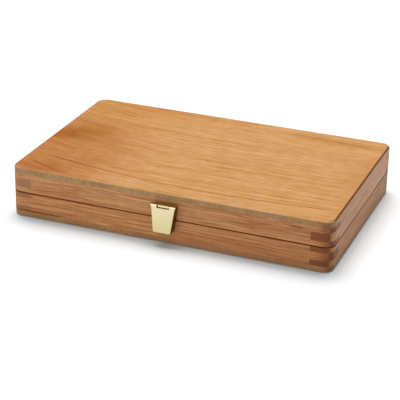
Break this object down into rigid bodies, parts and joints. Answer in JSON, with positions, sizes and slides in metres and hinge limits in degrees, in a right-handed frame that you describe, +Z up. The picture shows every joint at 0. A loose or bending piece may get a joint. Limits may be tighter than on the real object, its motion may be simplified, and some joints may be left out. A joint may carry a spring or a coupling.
{
  "type": "travel backgammon set",
  "caption": "Flat wooden travel backgammon case of two hinged halves with finger-jointed corners and a brass flap latch, holding checkers, dice and a doubling cube.",
  "frame": {"origin": "centre of the underside, where the closed case rests", "axes": "+X along the long side, +Y from the latch to the hinges, +Z up through the closed lid"},
  "size_m": [0.2, 0.1355, 0.0316],
  "materials": {
    "cherry": "oiled",
    "plywood_core": "oiled",
    "cherry_veneer": "satin lacquer",
    "field_veneer": "satin lacquer",
    "dark_veneer": "satin lacquer",
    "light_veneer": "satin lacquer",
    "light_wood": "polished",
    "dark_wood": "polished",
    "ivory_plastic": "glossy",
    "brass": "lacquered",
    "brass_fittings": "lacquered"
  },
  "bodies": {
    "base": {"base_panel": "plywood_core", "base_veneer": "cherry_veneer", "base_front_rail": "cherry", "base_back_rail": "cherry", "base_left_rail": "cherry", "base_right_rail": "cherry", "base_lining": "field_veneer", "base_dark_points": "dark_veneer", "base_light_points": "light_veneer", "base_divider": "cherry", "base_hinge_screws": "brass_fittings", "left_hinge_base_leaf": "brass", "right_hinge_base_leaf": "brass", "left_hinge_pin": "brass_fittings", "right_hinge_pin": "brass_fittings", "latch_strike": "brass", "latch_strike_nails": "brass_fittings", "left_trough_stop": "cherry", "right_trough_stop": "cherry"},
    "lid": {"lid_panel": "plywood_core", "lid_veneer": "cherry_veneer", "lid_front_rail": "cherry", "lid_back_rail": "cherry", "lid_left_rail": "cherry", "lid_right_rail": "cherry", "lid_lining": "field_veneer", "lid_dark_points": "dark_veneer", "lid_light_points": "light_veneer", "lid_divider": "cherry", "lid_hinge_screws": "brass_fittings", "left_hinge_lid_leaf": "brass", "right_hinge_lid_leaf": "brass", "latch_plate": "brass", "latch_plate_nails": "brass_fittings", "latch_pin": "brass_fittings"},
    "latch": {"latch_flap": "brass"},
    "light_row": {"light_checkers": "light_wood"},
    "dark_row": {"dark_checkers": "dark_wood"},
    "left_die": {"die_1": "ivory_plastic"},
    "right_die": {"die_2": "ivory_plastic"},
    "cube": {"doubling_cube": "ivory_plastic"}
  },
  "joints": [
    {"name": "lid_hinge", "type": "hinge", "parent": "base", "child": "lid", "pos_m": [0, 0.0641, 0.0158], "axis": [-1, 0, 0], "range_deg": [0, 180]},
    {"name": "latch_hinge", "type": "hinge", "parent": "lid", "child": "latch", "pos_m": [0, -0.0668, 0.025], "axis": [-1, 0, 0], "range_deg": [0, 120]},
    {"name": "light_row_lift", "type": "slide", "parent": "base", "child": "light_row", "axis": [0, 0, 1], "range_m": [0, 0.008]},
    {"name": "dark_row_lift", "type": "slide", "parent": "base", "child": "dark_row", "axis": [0, 0, 1], "range_m": [0, 0.008]},
    {"name": "left_die_lift", "type": "slide", "parent": "base", "child": "left_die", "axis": [0, 0, 1], "range_m": [0, 0.013]},
    {"name": "right_die_lift", "type": "slide", "parent": "base", "child": "right_die", "axis": [0, 0, 1], "range_m": [0, 0.013]},
    {"name": "cube_lift", "type": "slide", "parent": "base", "child": "cube", "axis": [0, 0, 1], "range_m": [0, 0.011]}
  ]
}
